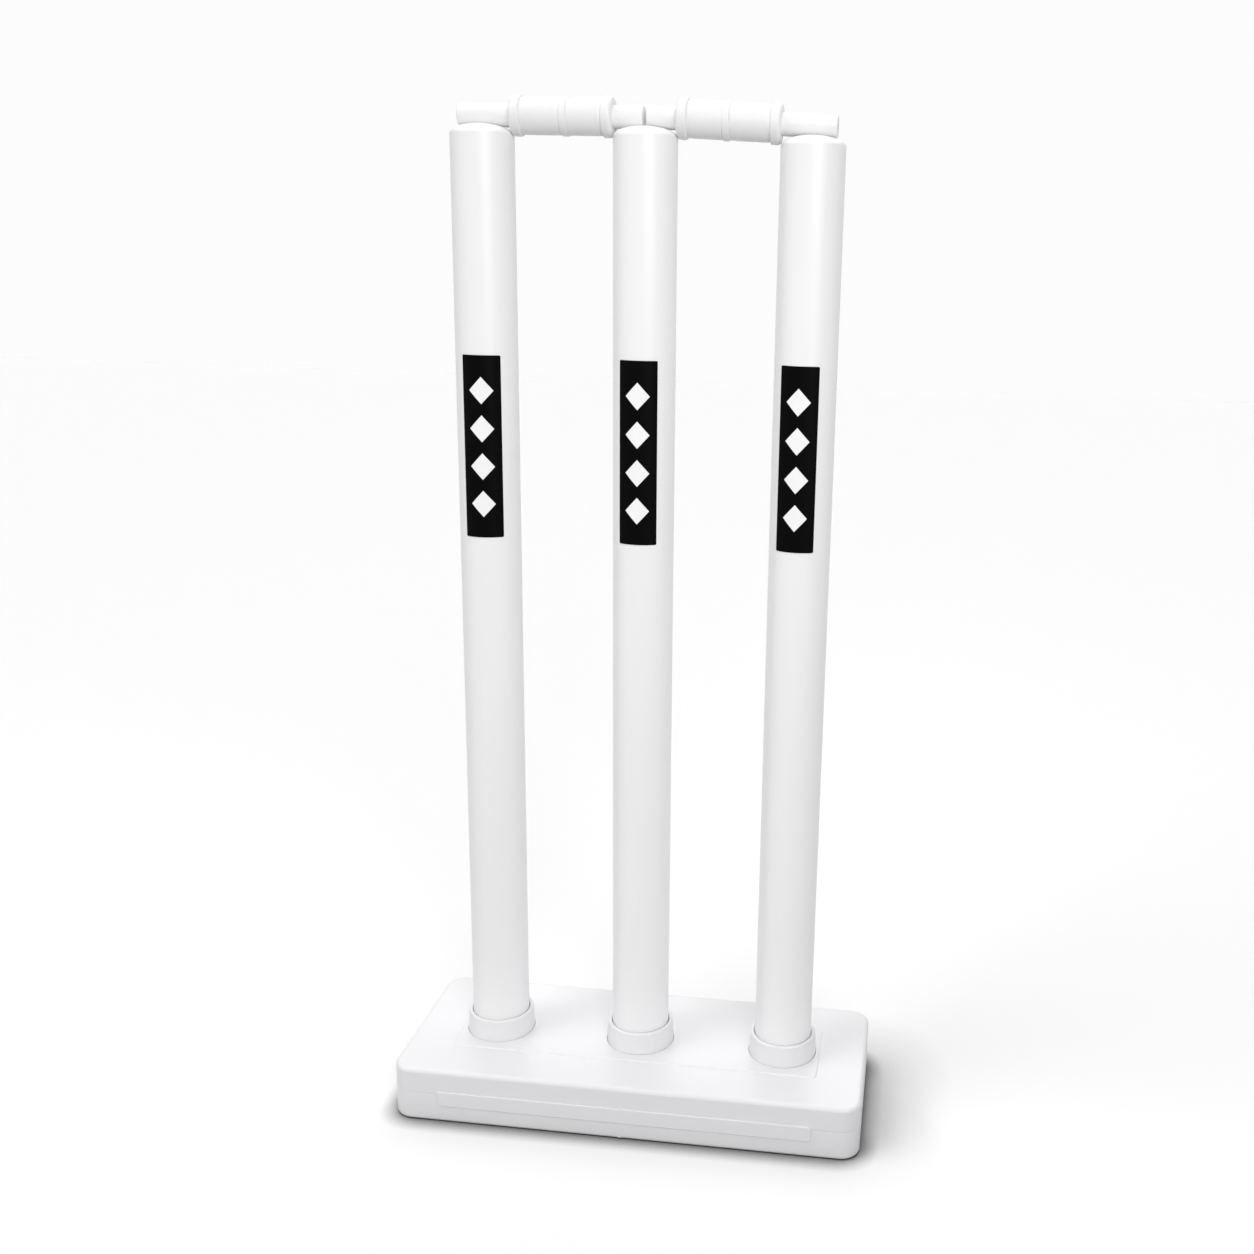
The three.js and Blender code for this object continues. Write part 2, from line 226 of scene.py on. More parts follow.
# Noise patterns, as (waves per metre, detail), and the range that most of a noise lies in
PLASTIC_CLOUDS = (9, 1)
PLASTIC_GLOSS = (30, 2)
PLASTIC_GRAIN = (900, 2)
VINYL_GLOSS = (60, 3)
VINYL_RIPPLES = (160, 2)
ZINC_SPANGLES = (700, 3)
ZINC_GLOSS = (1500, 2)
ZINC_GRAIN = (2500, 2)
NOISE_RANGE = (0.2, 0.8)


# Meshes


def grid_faces(rows, columns, closed):
    """Four corners of each cell of a grid whose point (row, column) has number row * columns + column. A
    closed grid joins its last column to its first."""
    cells = columns if closed else columns - 1
    row, column = np.meshgrid(np.arange(rows - 1), np.arange(cells), indexing="ij")
    low, high = row * columns, (row + 1) * columns
    after = (column + 1) % columns
    corners = [low + column, low + after, high + after, high + column]
    return np.stack(corners, axis=-1).reshape(-1, 4)


def tidied(mesh):
    """Merges points that lie together, drops faces with no area, turns the others outwards, and shades all
    but the sharp edges smooth."""
    work = bmesh.new()
    work.from_mesh(mesh)
    bmesh.ops.remove_doubles(work, verts=work.verts, dist=WELD)
    bmesh.ops.dissolve_degenerate(work, edges=work.edges, dist=WELD)
    bmesh.ops.recalc_face_normals(work, faces=work.faces)
    work.to_mesh(mesh)
    work.free()
    mesh.shade_smooth()
    mesh.set_sharp_from_angle(angle=SHARP_ANGLE)


def body_from(name, points, faces):
    """A mesh object from points (n, 3) and lists of point numbers."""
    mesh = bpy.data.meshes.new(name)
    mesh.from_pydata(points.tolist(), [], [list(face) for face in faces])
    tidied(mesh)
    body = bpy.data.objects.new(name, mesh)
    bpy.context.scene.collection.objects.link(body)
    return body


def round_points(radius, angle, height, x=0.0, y=0.0):
    """Points (x + radius cos a, y + radius sin a, height), row by row, at every angle of each row."""
    places = np.broadcast_arrays(x + radius * np.cos(angle), y + radius * np.sin(angle), height)
    return np.stack(places, axis=-1).reshape(-1, 3)


def turned_grid(profile, sides):
    """Radius and height of each profile point, as columns, and the angles of equal steps round the axis."""
    radius, height = np.asarray(profile, float).T[:, :, None]
    return radius, np.linspace(0, 2 * math.pi, sides, endpoint=False), height


def turned(name, profile, sides, place=None):
    """A body turned about Z: every profile point (radius, height) goes round a circle of that radius."""
    points = round_points(*turned_grid(profile, sides))
    return body_from(name, placed(points, place), grid_faces(len(profile), sides, True))


def placed(points, place):
    """Points moved by a 4 x 4 placement, or left where they are."""
    if place is None:
        return points
    matrix = np.array(place)
    return points @ matrix[:3, :3].T + matrix[:3, 3]


def rounded_outlines(length, depth, corner, insets):
    """Rectangles with round corners, one for each inset: an inset draws the sides in and makes the corners'
    radius smaller by as much. Each corner is a quarter circle about its own middle, at equal angles."""
    insets = np.asarray(insets, float)[:, None]
    radius = np.maximum(corner - insets, 0)
    quarter = np.repeat(np.arange(4), CORNER_STEPS + 1)
    angle = (quarter + np.tile(np.arange(CORNER_STEPS + 1), 4) / CORNER_STEPS) * math.pi / 2
    side_x = np.array([1, -1, -1, 1])[quarter]
    side_y = np.array([1, 1, -1, -1])[quarter]
    x = side_x * (length / 2 - insets - radius) + radius * np.cos(angle)
    y = side_y * (depth / 2 - insets - radius) + radius * np.sin(angle)
    return np.stack([x, y], axis=-1)


def layered(name, length, depth, corner, layers, place=None):
    """A closed body of rounded rectangles, one above the other: each layer is (inset, height), and flat
    faces close the lowest and the highest."""
    insets, heights = np.asarray(layers, float).T
    outlines = rounded_outlines(length, depth, corner, insets)
    rows, columns = outlines.shape[:2]
    level = np.repeat(heights[:, None, None], columns, axis=1)
    points = np.concatenate([outlines, level], axis=-1).reshape(-1, 3)
    faces = list(grid_faces(rows, columns, True))
    faces.append(np.arange(columns)[::-1])
    faces.append((rows - 1) * columns + np.arange(columns))
    return body_from(name, placed(points, place), faces)


def low_edge(radius, height):
    """Layers of a lower edge rounded to a quarter circle, from its foot up."""
    angle = np.linspace(0, math.pi / 2, EDGE_STEPS + 1)
    return list(zip(radius * (1 - np.sin(angle)), height + radius * (1 - np.cos(angle))))


def high_edge(radius, height):
    """Layers of an upper edge rounded to a quarter circle, up to its top."""
    angle = np.linspace(0, math.pi / 2, EDGE_STEPS + 1)
    return list(zip(radius * (1 - np.cos(angle)), height - radius * (1 - np.sin(angle))))


def arc(middle, radius, start, end, steps=EDGE_STEPS):
    """Points of a circle's arc about (radius, height), from one angle in degrees to another."""
    angle = np.radians(np.linspace(start, end, steps + 1))
    return list(zip(middle[0] + radius * np.cos(angle), middle[1] + radius * np.sin(angle)))


def upright(radius, low, high, x=0.0, y=0.0, sides=SMALL_SIDES):
    """A round bar that stands on end."""
    profile = [(0, low), (radius, low), (radius, high), (0, high)]
    return turned("bar", profile, sides, Matrix.Translation((x, y, 0)))


def combined(body, steps):
    """The body with other bodies joined to it, cut out of it or kept in common with it, in turn. The other
    bodies are then removed."""
    for operation, tool in steps:
        step = body.modifiers.new(operation.lower(), "BOOLEAN")
        step.operation, step.object, step.solver = operation, tool, "EXACT"
    result = body.evaluated_get(bpy.context.evaluated_depsgraph_get())
    mesh = bpy.data.meshes.new_from_object(result)
    mesh.name = body.name
    body.modifiers.clear()
    body.data = mesh
    for operation, tool in steps:
        bpy.data.objects.remove(tool)
    tidied(mesh)
    return body


# Base

BASE_LENGTH = 2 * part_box("base_cover")[1].x
BASE_DEPTH = 2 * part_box("base_cover")[1].y
PANEL_TOP = BASE_TOP + PANEL_RISE
ROOF = BASE_TOP - SHELL_WALL
CAVITY = (BASE_LENGTH - 2 * SHELL_WALL, BASE_DEPTH - 2 * SHELL_WALL, BASE_CORNER - SHELL_WALL)
STUMP_NAMES = ("left", "middle", "right")
STUMP_X = {name: sum(corner.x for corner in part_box(f"{name}_socket")) / 2 for name in STUMP_NAMES}
SCREW_PLACES = [
    (side_x * (BASE_LENGTH / 2 - SCREW_INSET[0]), side_y * (BASE_DEPTH / 2 - SCREW_INSET[1]))
    for side_y in (-1, 1) for side_x in (-1, 0, 1)
]

# Turns about Z that put a shape at one end or side of the base, and at the other
BOTH_WAYS = (0, math.pi)


def grip(way, grow, mouth):
    """The hollow of a finger grip: long rounded outlines that go in from an end of the base, with a rounded
    floor. `grow` makes it wider by the thickness of its wall, and `mouth` flares its opening."""
    depth = GRIP_DEPTH + grow
    layers = [(inset, height - depth) for inset, height in low_edge(GRIP_FLOOR_ROUND + grow, 0)]
    if mouth:
        angle = np.linspace(math.pi / 2, 0, EDGE_STEPS + 1)
        flare = zip(-GRIP_RIM * (1 - np.sin(angle)), -GRIP_RIM * (1 - np.cos(angle)))
        layers += sorted(flare, key=lambda layer: layer[1])
        layers.append((-GRIP_RIM, OVERRUN))
    else:
        layers.append((0, -SHELL_WALL / 2))
    height, length = GRIP_HEIGHT + 2 * grow, GRIP_LENGTH + 2 * grow
    inwards = Matrix.Rotation(way, 4, "Z") @ Matrix.Translation((BASE_LENGTH / 2, 0, BASE_TOP / 2))
    place = inwards @ Matrix.Rotation(math.pi / 2, 4, "Y")
    return layered("grip", height, length, height / 2, layers, place)


def band(way, grow):
    """The raised band of a long side, a slab with round corners that lies against the wall and laps over
    the cover. `grow` makes it wider all round, for the notch that takes it."""
    back = BASE_DEPTH / 2 - LAP_DEPTH - grow
    layers = [(0, back)] + high_edge(BAND_EDGE, BASE_DEPTH / 2 + BAND_RISE + grow)
    height = BAND_HIGH - BAND_LOW + 2 * grow
    outwards = Matrix.Rotation(way, 4, "Z") @ Matrix.Translation((0, 0, (BAND_HIGH + BAND_LOW) / 2))
    place = outwards @ Matrix.Rotation(math.pi / 2, 4, "X")
    return layered("band", BAND_LENGTH + 2 * grow, height, BAND_CORNER + grow, layers, place)


def nub(x, y, z):
    """A small round nub that the mould leaves on the front: a ball of unit width, turned from half a circle
    and squeezed to the nub's width, depth and height."""
    place = Matrix.Translation((x, y, z)) @ Matrix.Diagonal((*NUB_SIZE, 1))
    return turned("nub", arc((0, 0), 0.5, -90, 90), SMALL_SIDES, place)


def level_slice(low, high):
    """A wide block between two heights."""
    return layered("slice", SLICE_WIDTH, SLICE_WIDTH, OVERRUN, [(0, low), (0, high)])


def grip_wall(way, low, high):
    """The part of a grip's wall that belongs to one shell, still solid: the grip is cut out of it later."""
    return combined(grip(way, SHELL_WALL, False), [("INTERSECT", level_slice(low, high))])


def cover_shell():
    """Upper shell: a rounded box open below, with the raised panel, the holes for the collars, the upper
    halves of the finger grips and the notches that take the bands."""
    low = SEAM + SEAM_GAP / 2
    skin_layers = low_edge(SEAM_EDGE, low) + high_edge(TOP_EDGE, BASE_TOP)
    skin = layered("base_cover_shell", BASE_LENGTH, BASE_DEPTH, BASE_CORNER, skin_layers)
    cavity_layers = [(0, low - OVERRUN)] + high_edge(TOP_EDGE - SHELL_WALL, ROOF)
    panel_layers = [(0, ROOF)] + high_edge(PANEL_EDGE, PANEL_TOP)
    steps = [
        ("DIFFERENCE", layered("cavity", *CAVITY, cavity_layers)),
        ("UNION", layered("panel", *PANEL_SIZE, PANEL_CORNER, panel_layers)),
    ]
    steps += [("UNION", grip_wall(way, low, BASE_TOP - SHELL_WALL / 2)) for way in BOTH_WAYS]
    hole_radius = COLLAR_FOOT_RADIUS + COLLAR_CLEARANCE
    for x in STUMP_X.values():
        hole = upright(hole_radius, low, PANEL_TOP + OVERRUN, x, sides=ROUND_SIDES)
        steps.append(("DIFFERENCE", hole))
    steps += [("DIFFERENCE", grip(way, 0, True)) for way in BOTH_WAYS]
    steps += [("DIFFERENCE", band(way, SEAM_GAP)) for way in BOTH_WAYS]
    return combined(skin, steps)


def tray_shell():
    """Lower shell: a rounded tray with the raised bands and two nubs, the rings round the sockets' feet, the
    pillars and wells of the screws and the lower halves of the finger grips."""
    high = SEAM - SEAM_GAP / 2
    skin_layers = low_edge(BOTTOM_EDGE, 0) + high_edge(SEAM_EDGE, high)
    skin = layered("base_tray_shell", BASE_LENGTH, BASE_DEPTH, BASE_CORNER, skin_layers)
    cavity_layers = low_edge(INSIDE_EDGE, SHELL_WALL) + [(0, high + OVERRUN)]
    steps = [("DIFFERENCE", layered("cavity", *CAVITY, cavity_layers))]
    steps += [("UNION", grip_wall(way, SHELL_WALL / 2, high)) for way in BOTH_WAYS]
    for x, y in SCREW_PLACES:
        steps.append(("UNION", upright(PILLAR_RADIUS, SHELL_WALL / 2, high, x, y)))
    inner = TUBE_RADIUS + COLLAR_CLEARANCE
    outer = inner + RING_WALL
    foot, rim = SHELL_WALL / 2, SHELL_WALL + RING_RISE
    ring = [(inner, foot), (outer, foot), (outer, rim), (inner, rim), (inner, foot)]
    for x in STUMP_X.values():
        steps.append(("UNION", turned("ring", ring, ROUND_SIDES, Matrix.Translation((x, 0, 0)))))
    steps += [("UNION", band(way, 0)) for way in BOTH_WAYS]
    steps.append(("UNION", nub(0, -(BASE_DEPTH + BAND_RISE) / 2, BAND_HIGH)))
    steps.append(("UNION", nub(LOW_NUB_X, -BASE_DEPTH / 2 + LOW_NUB_SINK, LOW_NUB_Z)))
    for x, y in SCREW_PLACES:
        steps.append(("DIFFERENCE", upright(PILOT_RADIUS, -OVERRUN, high + OVERRUN, x, y)))
        steps.append(("DIFFERENCE", upright(WELL_RADIUS, -OVERRUN, WELL_TOP, x, y)))
    steps += [("DIFFERENCE", grip(way, 0, True)) for way in BOTH_WAYS]
    return combined(skin, steps)


def socket_cup(name):
    """A cup for a stump, turned from a profile: a collar with a rounded lip above the cover, a flange under
    the cover, and a tube that reaches down into the ring on the tray's floor."""
    lip = COLLAR_WALL / 2
    edge = SOCKET_EDGE
    profile = [
        (0, SOCKET_LOW),
        (TUBE_RADIUS - edge, SOCKET_LOW),
        *arc((TUBE_RADIUS - edge, SOCKET_LOW + edge), edge, -90, 0, SMALL_EDGE_STEPS),
        (TUBE_RADIUS, FLANGE_LOW),
        (FLANGE_RADIUS, FLANGE_LOW),
        (FLANGE_RADIUS, FLANGE_HIGH),
        (COLLAR_FOOT_RADIUS, FLANGE_HIGH),
        (COLLAR_FOOT_RADIUS, PANEL_TOP),
        *arc((BORE_RADIUS + lip, COLLAR_TOP - lip), lip, 0, 180, 2 * EDGE_STEPS),
        (BORE_RADIUS, SEAT),
        (0, SEAT),
    ]
    return turned(f"{name}_socket_cup", profile, ROUND_SIDES, Matrix.Translation((STUMP_X[name], 0, 0)))


# Stumps, stickers, bails and screws


def smooth_least(first, second, blend):
    """The lesser of two values, with the corner between them rounded: the mean of both, less the root of the
    sum of two squares, of half their difference and of the blend."""
    return (first + second) / 2 - np.sqrt(((first - second) / 2) ** 2 + blend ** 2)


def stump_tube(name):
    """A hollow stump, open below, turned from one profile. Its crown is half an ellipse, and wherever the
    trough for the bails lies lower than the crown, the crown's height follows the trough, a circle's arc
    across Y. The whole stump is then moved down as far as it is sunk below the left one."""
    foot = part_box("left_stump")[0].z
    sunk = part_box(f"{name}_stump")[0].z - foot
    shoulder = STUMP_TOP - CROWN_HEIGHT
    inside = STUMP_RADIUS - STUMP_WALL
    ceiling = shoulder - CROWN_PLASTIC
    edge = FOOT_EDGE
    rise = np.linspace(0, math.pi / 2, CROWN_STEPS + 1)
    profile = [
        (0, ceiling),
        (inside - STUMP_WALL, ceiling),
        *arc((inside - STUMP_WALL, ceiling - STUMP_WALL), STUMP_WALL, 90, 0),
        (inside, foot + edge),
        *arc((inside + edge, foot + edge), edge, 180, 270, SMALL_EDGE_STEPS),
        *arc((STUMP_RADIUS - edge, foot + edge), edge, -90, 0, SMALL_EDGE_STEPS),
        *zip(STUMP_RADIUS * np.cos(rise), shoulder + CROWN_HEIGHT * np.sin(rise)),
    ]
    radius, angle, height = turned_grid(profile, ROUND_SIDES)
    y = radius * np.sin(angle)
    trough = BAIL_AXIS - np.sqrt(np.maximum(TROUGH_RADIUS ** 2 - y ** 2, 0))
    crown = (height > shoulder + TROUGH_BLEND) & (np.abs(y) < TROUGH_RADIUS)
    z = np.where(crown, smooth_least(height, trough, TROUGH_BLEND), height) + sunk
    points = round_points(radius, angle, z, STUMP_X[name])
    return body_from(f"{name}_stump_tube", points, grid_faces(len(profile), ROUND_SIDES, True))


def sticker(name):
    """A thin sticker bent round the front of a stump: a rectangle whose distance across becomes an angle,
    distance / radius of the stump. Near its side edges its ends draw in along circles' arcs, as round
    corners. An outer and an inner sheet are joined by a rim."""
    inner = STUMP_RADIUS + LABEL_GAP
    outer = inner + LABEL_THICKNESS
    rows, columns = STICKER_ROWS + 1, STICKER_COLUMNS + 1
    across = np.linspace(-0.5, 0.5, columns)
    up = np.linspace(0, 1, rows)
    into_corner = np.maximum(np.abs(across) * LABEL_WIDTH - (LABEL_WIDTH / 2 - LABEL_CORNER), 0)
    corner_drop = LABEL_CORNER - np.sqrt(np.maximum(LABEL_CORNER ** 2 - into_corner ** 2, 0))
    low = LABEL_LOW + corner_drop
    high = LABEL_LOW + LABEL_HEIGHT - corner_drop
    z = low + (high - low) * up[:, None]
    turn = math.radians(LABEL_TURNS[name]) - math.pi / 2 + across * LABEL_WIDTH / STUMP_RADIUS
    sheets = [round_points(radius, turn, z, STUMP_X[name]) for radius in (outer, inner)]
    front = grid_faces(rows, columns, False)
    number = np.arange(rows * columns).reshape(rows, columns)
    border = np.concatenate([number[0, :-1], number[:-1, -1], number[-1, :0:-1], number[:0:-1, 0]])
    after = np.roll(border, -1)
    rim = np.stack([border, border + rows * columns, after + rows * columns, after], axis=-1)
    faces = np.concatenate([front, front[:, ::-1] + rows * columns, rim])
    return body_from(f"{name}_stump_sticker", np.concatenate(sheets), faces)


def groove(middle, width, depth, before, after):
    """Profile of a round-bottomed groove: one wave of a cosine, from crest to crest, is taken from a radius
    that runs evenly from the one before it to the one after it."""
    share = np.linspace(-1, 1, GROOVE_STEPS + 1)
    edge = before + (after - before) * (share + 1) / 2
    return list(zip(edge - depth * (0.5 + 0.5 * np.cos(math.pi * share)), middle + share * width / 2))


def bail_profile():
    """Half outline of a bail, as (radius, distance along it). Each end of the barrel has a round bead with a
    neck beside it, which ends in a fine line. The ring near the middle has such a neck on its far side."""
    corner = BEAD_RADIUS - BEAD_FACE_RADIUS
    middle = (BARREL_START + BARREL_END) / 2
    bead_end = BARREL_START + BEAD_WIDTH
    bead = [
        *arc((BEAD_FACE_RADIUS, BARREL_START + corner), corner, -90, 0),
        *arc((BEAD_RADIUS - BEAD_FLANK, bead_end - BEAD_FLANK), BEAD_FLANK, 0, FLANK_TURN),
        *groove(bead_end + GROOVE_WIDTH / 2, GROOVE_WIDTH, GROOVE_DEPTH, NECK_RADIUS, NECK_RADIUS),
        *groove(bead_end + NECK_WIDTH, LINE_WIDTH, LINE_DEPTH, NECK_RADIUS, BARREL_RADIUS),
    ]
    other_bead = [(radius, 2 * middle - along) for radius, along in reversed(bead)]
    ring_start = middle - (RING_WIDTH + RING_NECK_WIDTH) / 2
    ring_end = ring_start + RING_WIDTH
    ring_side = RING_RADIUS - RING_EDGE
    ring = [
        *groove(ring_start - GROOVE_WIDTH / 2, GROOVE_WIDTH, GROOVE_DEPTH, BARREL_RADIUS, BARREL_RADIUS),
        *arc((ring_side, ring_start + RING_EDGE), RING_EDGE, -FLANK_TURN, 0, RING_STEPS),
        *arc((ring_side, ring_end - RING_EDGE), RING_EDGE, 0, FLANK_TURN, RING_STEPS),
        *groove(ring_end + GROOVE_WIDTH / 2, GROOVE_WIDTH, GROOVE_DEPTH, NECK_RADIUS, NECK_RADIUS),
        *groove(ring_end + RING_NECK_WIDTH, LINE_WIDTH, LINE_DEPTH, NECK_RADIUS, BARREL_RADIUS),
    ]
    edge = SPIGOT_EDGE
    return [
        (0, BAIL_START),
        *arc((SPIGOT_RADIUS - edge, BAIL_START + edge), edge, -90, 0),
        (SPIGOT_RADIUS, BARREL_START),
        *bead,
        *ring,
        *other_bead,
        (SPIGOT_RADIUS, BARREL_END),
        *arc((SPIGOT_RADIUS - edge, BAIL_END - edge), edge, 0, 90),
        (0, BAIL_END),
    ]


def bails():
    """Both bails, turned about Z and laid along X: the left one level, the right one sloping down to the
    lower right crown. The tangent of its slope is the drop between the crowns over the run from the edge of
    the middle trough to the bail's end."""
    along_x = Matrix.Rotation(math.pi / 2, 4, "Y")
    left_place = Matrix.Translation((0, 0, BAIL_AXIS)) @ Matrix.Rotation(math.pi, 4, "Z") @ along_x
    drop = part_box("left_stump")[0].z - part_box("right_stump")[0].z
    trough_height = (CROWN_HEIGHT - TROUGH_DEPTH) / CROWN_HEIGHT
    trough_run = STUMP_RADIUS * math.sqrt(1 - trough_height ** 2)
    slope = math.atan2(drop, BAIL_END - trough_run)
    start = (BEAD_RADIUS * math.sin(slope), 0, BAIL_AXIS + trough_run * math.tan(slope))
    right_place = Matrix.Translation(start) @ Matrix.Rotation(slope, 4, "Y") @ along_x
    return {
        "left": turned("left_bail_turned", bail_profile(), BAIL_SIDES, left_place),
        "right": turned("right_bail_turned", bail_profile(), BAIL_SIDES, right_place),
    }


def screw(number, x, y):
    """A pan-head screw: the head's outline is turned, the shank's radius waves with the height in pitches
    less the share of a turn, which winds a thread round it, and a cross is cut into the head."""
    head_high = HEAD_LOW + HEAD_HEIGHT
    round_over = HEAD_HEIGHT * HEAD_ROUND_SHARE
    levels = np.linspace(head_high + THREAD_START, SCREW_TOP - SCREW_POINT, THREAD_LEVELS)
    profile = [
        (0, HEAD_LOW),
        *arc((HEAD_RADIUS - round_over, HEAD_LOW + round_over), round_over, -90, 0),
        (HEAD_RADIUS, head_high),
        (SHANK_RADIUS, head_high),
        *[(SHANK_RADIUS, level) for level in levels],
        (SCREW_TIP_RADIUS, SCREW_TOP),
        (0, SCREW_TOP),
    ]
    radius, angle, height = turned_grid(profile, SMALL_SIDES)
    wave = 0.5 + 0.5 * np.cos(2 * math.pi * height / THREAD_PITCH - angle)
    shank = (height >= levels[0]) & (height <= levels[-1])
    points = round_points(radius - np.where(shank, THREAD_DEPTH * wave, 0), angle, height, x, y)
    body = body_from(f"screw_{number}", points, grid_faces(len(profile), SMALL_SIDES, True))
    layers = [
        (0, HEAD_LOW - OVERRUN),
        (0, HEAD_LOW + SLOT_STRAIGHT),
        (SLOT_TAPER, HEAD_LOW + SLOT_DEPTH),
    ]
    slots = []
    for turn in (0, math.pi / 2):
        place = Matrix.Translation((x, y, 0)) @ Matrix.Rotation(turn, 4, "Z")
        slots.append(("DIFFERENCE", layered("slot", *SLOT_SIZE, SLOT_CORNER, layers, place)))
    return combined(body, slots)


# Materials


def new_material(name):
    """An empty material with a Principled shader, its node tree and the shader."""
    material = bpy.data.materials.new(name)
    material.use_nodes = True
    tree = material.node_tree
    return material, tree, tree.nodes["Principled BSDF"]


def calculate(tree, operation, first, second=None):
    """The result of one sum. Each term is a number or the output of another node."""
    node = tree.nodes.new("ShaderNodeMath")
    node.operation = operation
    for socket, value in zip(node.inputs, (first, second)):
        if isinstance(value, (int, float)):
            socket.default_value = value
        elif value is not None:
            tree.links.new(value, socket)
    return node.outputs["Value"]


def mapped(tree, value, start, end, low=0.0, high=1.0):
    """A value between start and end, stretched evenly to run from low to high, and held at those beyond."""
    node = tree.nodes.new("ShaderNodeMapRange")
    for socket, limit in zip(("From Min", "From Max", "To Min", "To Max"), (start, end, low, high)):
        node.inputs[socket].default_value = limit
    tree.links.new(value, node.inputs["Value"])
    return node.outputs["Result"]


def noise(tree, pattern, vector):
    """A noise pattern, (waves per metre, detail), on the given coordinates."""
    node = tree.nodes.new("ShaderNodeTexNoise")
    node.inputs["Scale"].default_value, node.inputs["Detail"].default_value = pattern
    tree.links.new(vector, node.inputs["Vector"])
    return node.outputs["Fac"]


def spread(tree, pattern, vector, low, high):
    """A noise pattern stretched to run from low to high."""
    return mapped(tree, noise(tree, pattern, vector), *NOISE_RANGE, low, high)


def blend_colours(tree, factor, first, second):
    """A mix of two colours."""
    node = tree.nodes.new("ShaderNodeMix")
    node.data_type = "RGBA"
    node.inputs["A"].default_value = (*first, 1)
    node.inputs["B"].default_value = (*second, 1)
    tree.links.new(factor, node.inputs["Factor"])
    return node.outputs["Result"]


def bumped(tree, shader, height, strength, depth):
    """Fine relief on the shader's surface."""
    node = tree.nodes.new("ShaderNodeBump")
    node.inputs["Strength"].default_value = strength
    node.inputs["Distance"].default_value = depth
    tree.links.new(height, node.inputs["Height"])
    tree.links.new(node.outputs["Normal"], shader.inputs["Normal"])


def object_coordinates(tree):
    """Places on the object, in metres."""
    return tree.nodes.new("ShaderNodeTexCoord").outputs["Object"]


def white_plastic(name, colour, roughness, grain):
    """White moulded plastic: clouds a shade apart, a gloss that varies slowly, and a grain that the mould
    leaves. The roughness swings by a share of itself either way."""
    material, tree, shader = new_material(name)
    where = object_coordinates(tree)
    clouds = spread(tree, PLASTIC_CLOUDS, where, 0, 1)
    darker = tuple(value * (1 - CLOUD_DARKNESS) for value in colour)
    tree.links.new(blend_colours(tree, clouds, colour, darker), shader.inputs["Base Color"])
    least, most = roughness * (1 - GLOSS_SWING), roughness * (1 + GLOSS_SWING)
    tree.links.new(spread(tree, PLASTIC_GLOSS, where, least, most), shader.inputs["Roughness"])
    bumped(tree, shader, noise(tree, PLASTIC_GRAIN, where), GRAIN_STRENGTH, grain)
    shader.inputs["IOR"].default_value = PLASTIC_IOR
    return material


def lozenge_row(tree, across, up):
    """1 inside a row of lozenges, one above the other, and 0 outside. Each has a cell of its own, and reaches
    as far as its distance up from the cell's middle over its half height, plus its distance across over its
    half width, makes 1."""
    work = partial(calculate, tree)
    cell_height = (1 - 2 * LOZENGE_MARGIN) / LOZENGES
    cell = work("DIVIDE", work("SUBTRACT", up, LOZENGE_MARGIN), cell_height)
    off_up = work("ABSOLUTE", work("SUBTRACT", work("FRACT", cell), 0.5))
    off_across = work("ABSOLUTE", work("SUBTRACT", across, 0.5))
    up_share = work("DIVIDE", off_up, LOZENGE_HALF_HEIGHT)
    reach = work("ADD", up_share, work("DIVIDE", off_across, LOZENGE_HALF_WIDTH))
    in_a_cell = work("MULTIPLY", work("LESS_THAN", cell, LOZENGES), work("GREATER_THAN", cell, 0))
    return work("MULTIPLY", mapped(tree, reach, 1, LOZENGE_SOLID), in_a_cell)


def sticker_vinyl():
    """Black glossy vinyl with a row of plain white lozenges up its middle, and faint ripples where it was
    pressed on. The row follows the sticker's own two coordinates, 0 to 1 across and up."""
    material, tree, shader = new_material("sticker_vinyl")
    where = object_coordinates(tree)
    uv = tree.nodes.new("ShaderNodeUVMap")
    uv.uv_map = "sticker"
    apart = tree.nodes.new("ShaderNodeSeparateXYZ")
    tree.links.new(uv.outputs["UV"], apart.inputs["Vector"])
    mark = lozenge_row(tree, apart.outputs["X"], apart.outputs["Y"])
    colour = blend_colours(tree, mark, VINYL_COLOUR, LOZENGE_COLOUR)
    tree.links.new(colour, shader.inputs["Base Color"])
    tree.links.new(spread(tree, VINYL_GLOSS, where, *VINYL_ROUGHNESS), shader.inputs["Roughness"])
    shader.inputs["Specular IOR Level"].default_value = VINYL_SHEEN
    bumped(tree, shader, noise(tree, VINYL_RIPPLES, where), *VINYL_RELIEF)
    return material


def zinc_steel():
    """Zinc plated steel: a grey that varies in small spangles, an uneven gloss and a fine grain."""
    material, tree, shader = new_material("zinc_steel")
    where = object_coordinates(tree)
    colour = blend_colours(tree, spread(tree, ZINC_SPANGLES, where, 0, 1), ZINC_LIGHT, ZINC_DARK)
    tree.links.new(colour, shader.inputs["Base Color"])
    tree.links.new(spread(tree, ZINC_GLOSS, where, *ZINC_ROUGHNESS), shader.inputs["Roughness"])
    shader.inputs["Metallic"].default_value = 1
    bumped(tree, shader, noise(tree, ZINC_GRAIN, where), *ZINC_RELIEF)
    return material


def finish_piece(piece, material, body, nodes):
    """Gives a piece its material and slot and the body that it moves with, and hides the imported nodes that
    it stands for.
    """
    piece.data.materials.clear()
    piece.data.materials.append(material)
    flats = piece.modifiers.new("flat_faces_stay_flat", "WEIGHTED_NORMAL")
    flats.keep_sharp = True
    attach(piece, body)
    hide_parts(*nodes)


